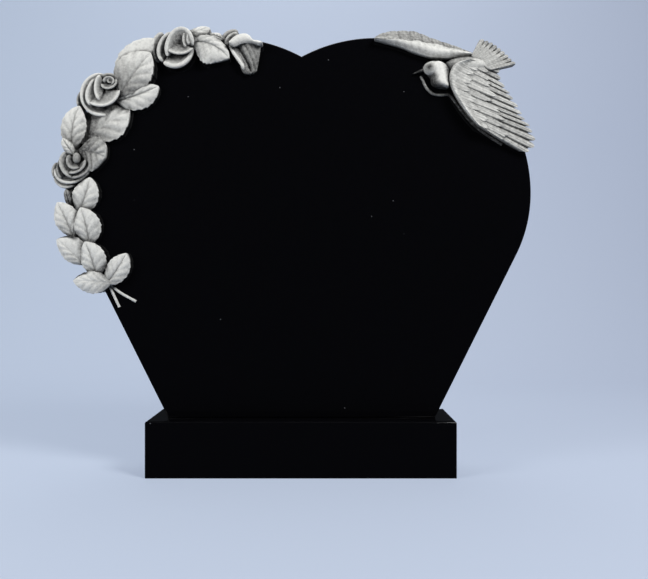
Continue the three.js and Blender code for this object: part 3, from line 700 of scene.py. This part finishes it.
# Materials: a wire is a socket that takes part in sums, and adds the nodes that they need
class Wire:
    def __init__(self, tree, socket=None):
        self.tree, self.socket = tree, socket

    def node(self, kind, settings, inputs, output=0):
        made = self.tree.nodes.new(kind)
        for key, value in settings.items():
            setattr(made, key, value)
        for key, value in inputs.items():
            if isinstance(value, Wire):
                self.tree.links.new(value.socket, made.inputs[key])
            else:
                made.inputs[key].default_value = value
        return Wire(self.tree, made.outputs[output])

    def maths(self, operation, first, second):
        return self.node("ShaderNodeMath", {"operation": operation}, {0: first, 1: second})

    def __add__(self, other):
        return self.maths("ADD", self, other)

    def __sub__(self, other):
        return self.maths("SUBTRACT", self, other)

    def __rsub__(self, other):
        return self.maths("SUBTRACT", other, self)

    def __mul__(self, other):
        return self.maths("MULTIPLY", self, other)

    def __gt__(self, other):
        return self.maths("GREATER_THAN", self, other)

    def __lt__(self, other):
        return self.maths("LESS_THAN", self, other)

    __radd__, __rmul__ = __add__, __mul__

    def blend(self, first, second):
        settings = {"data_type": "RGBA", "clamp_factor": True}
        return self.node("ShaderNodeMix", settings, {0: self, 6: first, 7: second}, 2)


def newMaterial(name, **fixed):
    material = bpy.data.materials.new(name)
    material.use_nodes = True
    shader = material.node_tree.nodes["Principled BSDF"]
    for key, value in fixed.items():
        shader.inputs[key.replace("_", " ")].default_value = value
    start = Wire(material.node_tree)

    def feed(socket, wire):
        material.node_tree.links.new(wire.socket, shader.inputs[socket])

    return material, start, feed


# black granite polished to a mirror: faint grain, and a few pale crystals
polish = dict(dark=(0.0012, 0.0012, 0.0016, 1), grain=(0.0022, 0.0022, 0.0030, 1),
              crystal=(0.3, 0.31, 0.33, 1), crystalTint=0.3, crystalRough=0.2, grainScale=240,
              grainDetail=3.0, crystalScale=70, crystalShare=0.985, crystalSize=0.1, roughness=(0.05, 0.11))


def polishedGranite():
    p = polish
    material, start, feed = newMaterial("polished_granite", IOR=1.45, Specular_IOR_Level=0.3)
    place = start.node("ShaderNodeTexCoord", {}, {}, "Object")
    fine = {"Vector": place, "Scale": p["grainScale"], "Detail": p["grainDetail"]}
    grain = start.node("ShaderNodeTexNoise", {}, fine)
    cells = {"Vector": place, "Scale": p["crystalScale"]}
    nearness = start.node("ShaderNodeTexVoronoi", {}, cells, "Distance")
    lot = start.node("ShaderNodeTexVoronoi", {}, cells, "Color")
    lot = start.node("ShaderNodeSeparateColor", {}, {"Color": lot}, "Red")
    crystal = (lot > p["crystalShare"]) * (nearness < p["crystalSize"])
    stone = grain.blend(p["dark"], p["grain"])
    feed("Base Color", (crystal * p["crystalTint"]).blend(stone, p["crystal"]))
    low, high = p["roughness"]
    feed("Roughness", grain * (high - low) + low + crystal * p["crystalRough"])
    return material


# the same granite tooled and left matt: pale where it stands out, painted with shade in its hollows, finely
# stippled
tooled = dict(pale=(0.68, 0.68, 0.65, 1), dark=(0.012, 0.012, 0.013, 1), mottleScale=150, mottleDetail=5.0,
              mottle=0.65, stippleScale=520, stippleDetail=2.0, stippleShade=0.5, stipple=0.4,
              stippleDepth=0.0007, roughness=0.72, roughSpread=0.2)


def carvedGranite():
    p = tooled
    material, start, feed = newMaterial("carved_granite")
    place = start.node("ShaderNodeTexCoord", {}, {}, "Object")
    # the painted shade of hollows and parts, with some random tone, comes from the points' attribute
    paintedShadeAndTone = start.node("ShaderNodeAttribute", {"attribute_name": "paintedShadeAndTone"}, {}, "Fac")
    mottle, stipple = (start.node("ShaderNodeTexNoise", {}, {"Vector": place, "Scale": p[key + "Scale"],
                                                             "Detail": p[key + "Detail"]})
                       for key in ("mottle", "stipple"))
    shade = paintedShadeAndTone + (0.5 - mottle) * p["mottle"] + (0.5 - stipple) * p["stippleShade"]
    feed("Base Color", shade.blend(p["pale"], p["dark"]))
    feed("Roughness", mottle * p["roughSpread"] + (p["roughness"] - p["roughSpread"] / 2))
    bump = {"Height": stipple, "Strength": p["stipple"], "Distance": p["stippleDepth"]}
    feed("Normal", start.node("ShaderNodeBump", {}, bump))
    return material


# a matt floor that glows faintly with a painted light of its own, a little dimmer towards the right
floorToneAndGlow = dict(base=(0.20, 0.22, 0.25, 1), left=(0.31, 0.37, 0.48, 1), right=(0.25, 0.29, 0.39, 1),
                 perMetre=0.2, roughness=0.9)


def paleFloor():
    f = floorToneAndGlow
    material, start, feed = newMaterial("pale_floor", Roughness=f["roughness"], Base_Color=f["base"],
                                        Emission_Strength=1)
    place = start.node("ShaderNodeTexCoord", {}, {}, "Object")
    across = start.node("ShaderNodeSeparateXYZ", {}, {"Vector": place}, "X")
    feed("Emission Color", (across * f["perMetre"] + 0.5).blend(f["left"], f["right"]))
    return material


polishedStone, carvedStone = polishedGranite(), carvedGranite()

# Pieces
heartShell = arrisedShell(heartOutline(), slab["thickness"], (slab["arris"], slab["arris"]),
                          (0, lobeZ - slab["middleDrop"]), inSlab)
heart = makePiece("heart_slab", [heartShell], polishedStone)
plinthOutline = blockOutline(plinthLow[:2], plinthHigh[:2], plinthForm["corner"])
plinthShell = arrisedShell(plinthOutline, plinthHigh.z - plinthLow.z, plinthForm["arrises"], (0, 0), inPlinth)
block = makePiece("plinth_block", [plinthShell], polishedStone)

garlandShells = [bedShell()] + [leafShell(leaf) for leaf in leaves] + [beadShell(stem) for stem in stems]
garlandShells += [shell for rose in roses for shell in roseShells(rose)] + budShells()
doveShells = [featheredShell(wing) for wing in (nearWing, farWing, tail)]
doveShells += [trunkShell(), knobShell(head), knobShell(back), beakShell(), beadShell(breastLine, rows=70)]
eyeBead = eyeShell()
# the flat backs stand apart by a hair, so that no two of them share a plane
for k, shell in enumerate(garlandShells + doveShells):
    depths = shell[0][:, 1]
    depths[depths > frontY + (undercut - backMargin) * mm] -= k * backStep * mm
print("carving worked out:", len(garlandShells), "shells in the garland,", len(doveShells), "in the dove")

garlandPoints = np.concatenate([shell[0] for shell in garlandShells])
dovePoints = np.concatenate([shell[0] for shell in doveShells])
# painted shade: the shade of the hollows is joined with each shell's own painted shade and tone
paintedShadeAndTone = paintedHollowShade(np.concatenate([garlandPoints, dovePoints]))
shade = np.concatenate([shell[2] for shell in garlandShells + doveShells])
paintedShadeAndTone = 1 - (1 - paintedShadeAndTone) * (1 - shade)
garlandPaintedShadeAndTone, dovePaintedShadeAndTone = paintedShadeAndTone[:len(garlandPoints)], paintedShadeAndTone[len(garlandPoints):]
# painted shade round the eye, as in its socket, and the eye bead painted fully dark
eyeAway = np.hypot(dovePoints[:, 0] / mm - eye["place"][0], dovePoints[:, 2] / mm - eye["place"][1])
dovePaintedShadeAndTone = np.maximum(dovePaintedShadeAndTone, eye["socketShade"] * np.exp(-(eyeAway / eye["socketShadeWidth"]) ** 2))
dovePaintedShadeAndTone = np.concatenate([dovePaintedShadeAndTone, np.ones(len(eyeBead[0]))])
garland = makePiece("rose_garland", garlandShells, carvedStone, {"paintedShadeAndTone": garlandPaintedShadeAndTone})
dove = makePiece("flying_dove", doveShells + [eyeBead], carvedStone, {"paintedShadeAndTone": dovePaintedShadeAndTone})

for piece, slotName in ((heart, "polished_granite"), (block, "polished_granite"),
                        (garland, "carved_granite"), (dove, "carved_granite")):
    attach(piece, "root")
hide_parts("stele")
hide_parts("plinth")

# Stage: a floor that curves up into a wall behind, worked out as a profile carried across
stageForm = dict(front=-0.85, back=3.2, bend=1.6, bendSteps=24, top=5.0, halfWidth=7.0)
turn = np.linspace(0, math.pi / 2, stageForm["bendSteps"])
floorY = np.concatenate([[stageForm["front"]], stageForm["back"] - stageForm["bend"] * (1 - np.sin(turn)),
                         [stageForm["back"]]])
floorZ = np.concatenate([[0], stageForm["bend"] * (1 - np.cos(turn)), [stageForm["top"]]])
ends = np.array([-stageForm["halfWidth"], stageForm["halfWidth"]])
stagePoints = np.stack(np.broadcast_arrays(ends[None], floorY[:, None], floorZ[:, None]), -1).reshape(-1, 3)
row = np.arange(len(floorY) - 1) * 2
stageMesh = bpy.data.meshes.new("studio_floor")
stageMesh.from_pydata(stagePoints.tolist(), [], np.stack([row, row + 1, row + 3, row + 2], -1).tolist())
stageMesh.polygons.foreach_set("use_smooth", np.ones(len(row), bool))
stageMesh.materials.append(paleFloor())
studioFloor = bpy.data.objects.new("studio_floor", stageMesh)
bpy.context.scene.collection.objects.link(studioFloor)
studioFloor.visible_glossy = False  # the polished faces stay black, as in the photograph

# Camera: level, in front of the face and a little to the right, as the photograph was taken
view = dict(location=(0.0595, -1.886, 0.4846), focalPixels=697, imageWidth=648, sensor=36)
cameraData = bpy.data.cameras.new("camera")
cameraData.sensor_width = view["sensor"]
cameraData.lens = view["sensor"] * view["focalPixels"] / view["imageWidth"]
camera = bpy.data.objects.new("camera", cameraData)
camera.location = view["location"]
camera.rotation_euler = (math.pi / 2, 0, 0)
bpy.context.scene.collection.objects.link(camera)
bpy.context.scene.camera = camera

# Soft lights, kept out of what the polished face mirrors
lamps = [
    dict(name="key", place=(2.2, -2.1, 3.0), target=(0, 0, 0.9), size=1.2, power=150),
    dict(name="side", place=(-3.0, -1.9, 2.0), target=(-0.2, 0, 0.9), size=1.6, power=90),
    dict(name="over", place=(0.0, 1.4, 3.8), target=(0, 1.4, 0), size=3.0, power=60),
]
for lamp in lamps:
    data = bpy.data.lights.new(lamp["name"], "AREA")
    data.size, data.energy = lamp["size"], lamp["power"]
    light = bpy.data.objects.new(lamp["name"], data)
    light.location = lamp["place"]
    way = np.array(lamp["place"]) - np.array(lamp["target"])
    light.rotation_euler = (math.atan2(math.hypot(way[0], way[1]), way[2]), 0, math.atan2(way[0], -way[1]))
    bpy.context.scene.collection.objects.link(light)

sky = dict(colour=(0.60, 0.66, 0.76, 1), strength=0.03)
world = bpy.data.worlds.new("studio")
world.use_nodes = True
world.node_tree.nodes["Background"].inputs["Color"].default_value = sky["colour"]
world.node_tree.nodes["Background"].inputs["Strength"].default_value = sky["strength"]
bpy.context.scene.world = world
bpy.context.scene.view_settings.view_transform = "Standard"
print("stage, camera and lights are in place")
